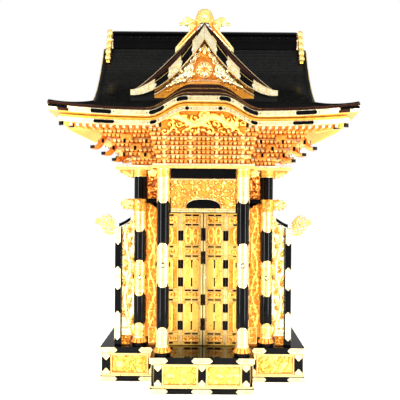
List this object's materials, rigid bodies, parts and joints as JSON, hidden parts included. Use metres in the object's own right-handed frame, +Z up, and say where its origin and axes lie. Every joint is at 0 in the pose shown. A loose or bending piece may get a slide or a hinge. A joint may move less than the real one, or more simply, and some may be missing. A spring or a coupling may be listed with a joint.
{
  "type": "miniature shrine pavilion",
  "caption": "Gilded and black-lacquered altar shrine: stepped plinth, round pillars, hollow sanctuary with folding doors, bracketed eaves and a hip-and-gable roof.",
  "frame": {"origin": "bottom centre of the whole, on the floor under the main ridge", "axes": "+Z up, the front with the porch and doors faces -Y, +X to the right seen from the front"},
  "size_m": [1.156, 0.943, 1.498],
  "materials": {
    "gold_leaf": "carved wood under burnished gold leaf, bright on the crests and warm orange in the hollows",
    "black_lacquer": "deep gloss black lacquer on wood",
    "roof_black": "black lacquered roof courses with a soft gloss and dark brown edges",
    "brass_fittings": "gilded brass plate with chased lines"
  },
  "bodies": {
    "shrine": {"back_wall": "black_lacquer", "base_main": "gold_leaf", "base_top_board": "black_lacquer", "bracket_tier_1": "gold_leaf", "bracket_tier_2": "gold_leaf", "bracket_tier_3": "gold_leaf", "bracket_tier_4": "gold_leaf", "ceiling_board": "gold_leaf", "door_head": "black_lacquer", "eave_lower": "gold_leaf", "eave_upper": "gold_leaf", "front_beam_head_left": "gold_leaf", "front_beam_head_right": "gold_leaf", "front_frieze": "gold_leaf", "gable_board_left": "gold_leaf", "gable_board_right": "gold_leaf", "gable_ornament": "gold_leaf", "gable_roof": "roof_black", "gable_wall": "gold_leaf", "jamb_panel_left": "gold_leaf", "jamb_panel_right": "gold_leaf", "ledge": "gold_leaf", "main_ridge": "roof_black", "main_roof": "roof_black", "pillar_outer_left": "black_lacquer", "pillar_outer_right": "black_lacquer", "pillar_porch_left": "black_lacquer", "pillar_porch_right": "black_lacquer", "pillar_rear_left": "black_lacquer", "pillar_rear_right": "black_lacquer", "porch_beam": "black_lacquer", "porch_beam_head_left": "gold_leaf", "porch_beam_head_right": "gold_leaf", "porch_carving": "gold_leaf", "porch_transom": "gold_leaf", "ridge_end_left": "gold_leaf", "ridge_end_right": "gold_leaf", "side_verge_left": "gold_leaf", "side_verge_right": "gold_leaf", "side_wall_left": "gold_leaf", "side_wall_right": "gold_leaf", "step_base": "gold_leaf", "step_top_board": "black_lacquer", "tie_beam_head_left": "gold_leaf", "tie_beam_head_right": "gold_leaf", "top_cloud_head_left": "gold_leaf", "top_cloud_head_right": "gold_leaf", "wing_beast_left": "gold_leaf", "wing_beast_right": "gold_leaf", "wing_panel_left": "gold_leaf", "wing_panel_right": "gold_leaf", "wing_post_left": "black_lacquer", "wing_post_right": "black_lacquer", "wing_rail_left": "black_lacquer", "wing_rail_right": "black_lacquer"},
    "outer_left_leaf": {"door_outer_left": "gold_leaf"},
    "inner_left_leaf": {"door_inner_left": "gold_leaf"},
    "inner_right_leaf": {"door_inner_right": "gold_leaf", "door_lock": "brass_fittings"},
    "outer_right_leaf": {"door_outer_right": "gold_leaf"}
  },
  "joints": [
    {"name": "outer_left_hinge", "type": "hinge", "parent": "shrine", "child": "outer_left_leaf", "pos_m": [-0.1844, -0.173, 0.4165], "axis": [0, 0, -1], "range_deg": [0, 88]},
    {"name": "inner_left_hinge", "type": "hinge", "parent": "outer_left_leaf", "child": "inner_left_leaf", "pos_m": [-0.0933, -0.163, 0.4165], "axis": [0, 0, -1], "range_deg": [-176, 0]},
    {"name": "outer_right_hinge", "type": "hinge", "parent": "shrine", "child": "outer_right_leaf", "pos_m": [0.1844, -0.173, 0.4165], "axis": [0, 0, 1], "range_deg": [0, 88]},
    {"name": "inner_right_hinge", "type": "hinge", "parent": "outer_right_leaf", "child": "inner_right_leaf", "pos_m": [0.0933, -0.163, 0.4165], "axis": [0, 0, 1], "range_deg": [-176, 0]}
  ],
  "couplings": [
    {"joint": "inner_left_hinge", "follows": "outer_left_hinge", "ratio": -2},
    {"joint": "inner_right_hinge", "follows": "outer_right_hinge", "ratio": -2}
  ]
}
